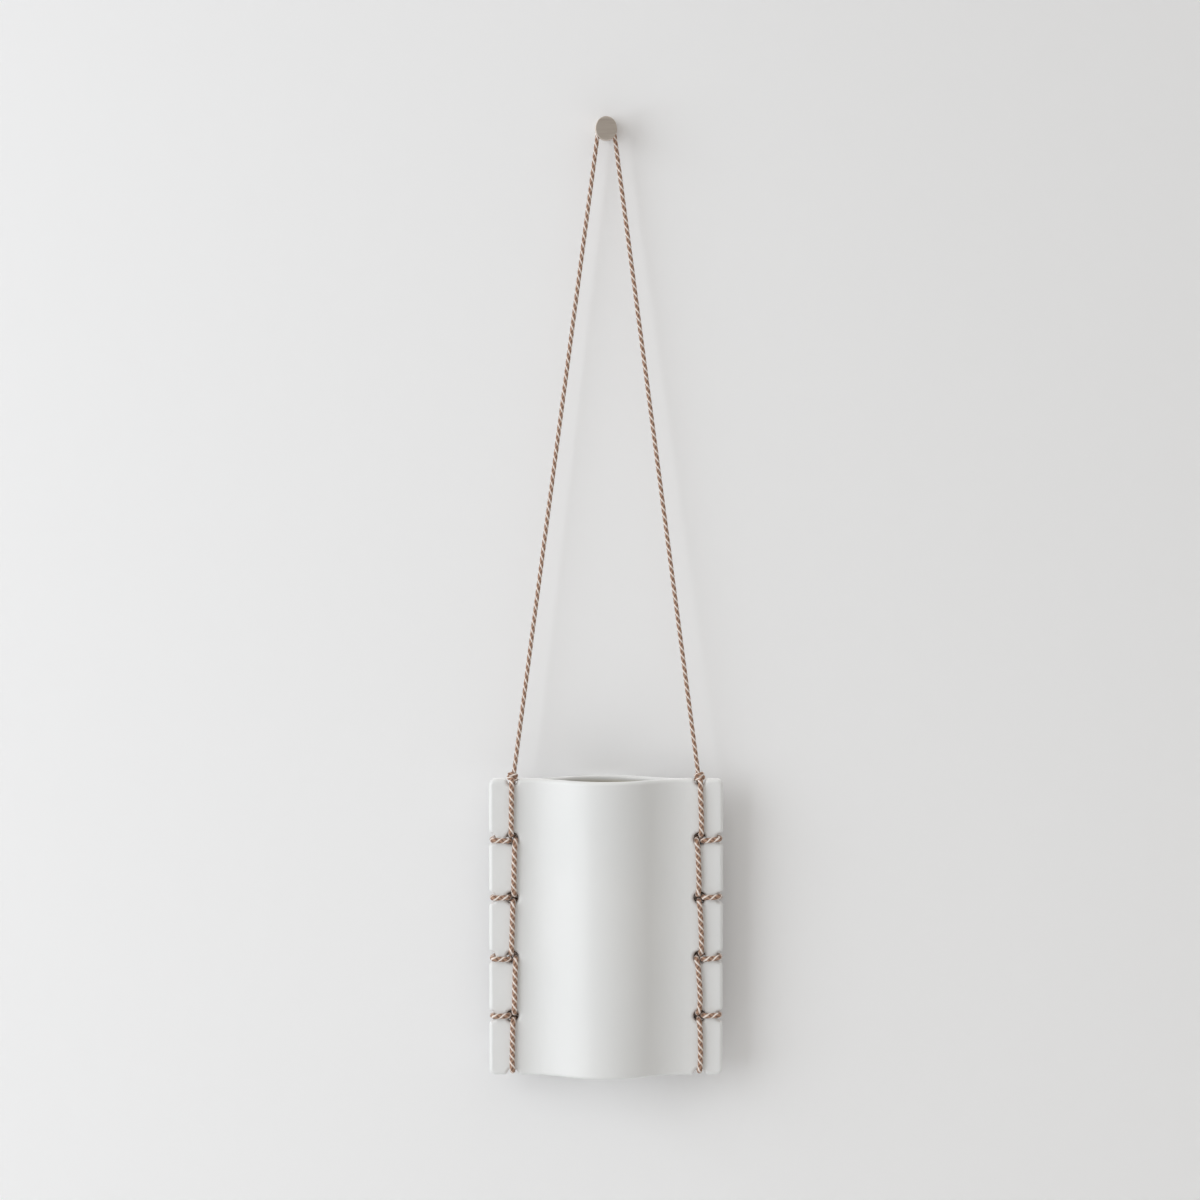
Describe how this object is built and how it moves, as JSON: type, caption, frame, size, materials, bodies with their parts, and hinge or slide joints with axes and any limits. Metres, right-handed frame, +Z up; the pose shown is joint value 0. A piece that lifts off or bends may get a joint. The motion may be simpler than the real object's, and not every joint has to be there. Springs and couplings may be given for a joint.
{
  "type": "hanging wall vase",
  "caption": "Slip-cast wall vase with a bulging pocket between flat side flanges laced with cord, hung by a cord sling over a steel wall peg.",
  "frame": {"origin": "on the peg's axis, at the wall face", "axes": "+X to the right as seen from the room, +Y into the wall along the peg, +Z up"},
  "size_m": [0.116, 0.0668, 0.4749],
  "materials": {
    "glazed_porcelain": "satin white glaze",
    "braided_cord": "two-tone brown and cream braided cotton cord",
    "brushed_steel": "brushed stainless steel",
    "stud_steel": "zinc-plated steel",
    "plug_nylon": "moulded grey nylon"
  },
  "bodies": {
    "peg": {"wall_peg": "brushed_steel", "peg_stud": "stud_steel", "wall_plug": "plug_nylon"},
    "bight": {"cord_bight": "braided_cord"},
    "legs": {"cord_leg_left": "braided_cord", "cord_leg_right": "braided_cord"},
    "vase": {"vase_body": "glazed_porcelain", "lacing_left": "braided_cord", "lacing_right": "braided_cord", "knot_left": "braided_cord", "knot_right": "braided_cord"}
  },
  "joints": [
    {"name": "sling_swing", "type": "hinge", "parent": "peg", "child": "bight", "pos_m": [0, -0.011, 0], "axis": [0, 1, 0], "range_deg": [-25, 25]},
    {"name": "sling_lift", "type": "hinge", "parent": "bight", "child": "legs", "pos_m": [0, -0.011, -0.00743], "axis": [-1, 0, 0], "range_deg": [0, 40]},
    {"name": "vase_tilt", "type": "hinge", "parent": "legs", "child": "vase", "pos_m": [0, -0.0183, -0.32], "axis": [-1, 0, 0], "range_deg": [0, 45]}
  ]
}
